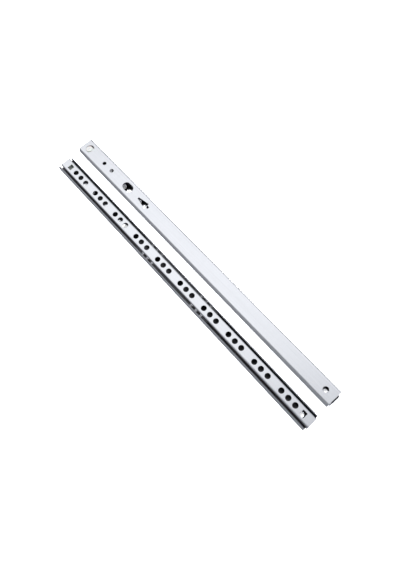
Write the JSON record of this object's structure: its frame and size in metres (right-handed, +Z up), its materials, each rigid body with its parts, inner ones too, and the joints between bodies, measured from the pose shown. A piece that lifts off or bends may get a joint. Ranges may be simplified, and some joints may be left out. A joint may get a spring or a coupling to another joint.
{
  "type": "drawer slide",
  "caption": "Matched pair of narrow ball-bearing drawer slides in zinc-plated steel, each with a perforated drawer rail, a ball cage and a nylon closing stop.",
  "frame": {"origin": "centre of the pair's footprint, on the surface it lies on", "axes": "+X along the rails towards the front of the cabinet, the way the drawer rails open; +Y across, from the left slide to the right slide; +Z up"},
  "size_m": [0.3452, 0.0444, 0.01],
  "materials": {
    "cabinet_zinc": "bright zinc plating, satin, with fine rolling lines along the rail",
    "drawer_zinc": "bright zinc plating, satin",
    "cage_steel": "blackened strip, oiled",
    "ball_steel": "polished",
    "nylon": "natural white moulded nylon, satin"
  },
  "bodies": {
    "cabinet": {"left_cabinet_rail": "cabinet_zinc", "left_end_buffer": "nylon", "right_cabinet_rail": "cabinet_zinc", "right_end_buffer": "nylon"},
    "left_drawer": {"left_drawer_rail": "drawer_zinc"},
    "left_cage": {"left_ball_cage": "cage_steel", "left_ball_a_01": "ball_steel", "left_ball_a_02": "ball_steel", "left_ball_a_03": "ball_steel", "left_ball_a_04": "ball_steel", "left_ball_a_05": "ball_steel", "left_ball_a_06": "ball_steel", "left_ball_b_01": "ball_steel", "left_ball_b_02": "ball_steel", "left_ball_b_03": "ball_steel", "left_ball_b_04": "ball_steel", "left_ball_b_05": "ball_steel", "left_ball_b_06": "ball_steel"},
    "right_drawer": {"right_drawer_rail": "drawer_zinc"},
    "right_cage": {"right_ball_cage": "cage_steel", "right_ball_a_01": "ball_steel", "right_ball_a_02": "ball_steel", "right_ball_a_03": "ball_steel", "right_ball_a_04": "ball_steel", "right_ball_a_05": "ball_steel", "right_ball_a_06": "ball_steel", "right_ball_b_01": "ball_steel", "right_ball_b_02": "ball_steel", "right_ball_b_03": "ball_steel", "right_ball_b_04": "ball_steel", "right_ball_b_05": "ball_steel", "right_ball_b_06": "ball_steel"}
  },
  "joints": [
    {"name": "left_drawer_slide", "type": "slide", "parent": "cabinet", "child": "left_drawer", "axis": [1, 0, 0], "range_m": [0, 0.228]},
    {"name": "left_cage_slide", "type": "slide", "parent": "cabinet", "child": "left_cage", "axis": [1, 0, 0], "range_m": [0, 0.114]},
    {"name": "right_drawer_slide", "type": "slide", "parent": "cabinet", "child": "right_drawer", "axis": [1, 0, 0], "range_m": [0, 0.228]},
    {"name": "right_cage_slide", "type": "slide", "parent": "cabinet", "child": "right_cage", "axis": [1, 0, 0], "range_m": [0, 0.114]}
  ],
  "couplings": [
    {"joint": "left_cage_slide", "follows": "left_drawer_slide", "ratio": 0.5},
    {"joint": "right_cage_slide", "follows": "right_drawer_slide", "ratio": 0.5}
  ]
}
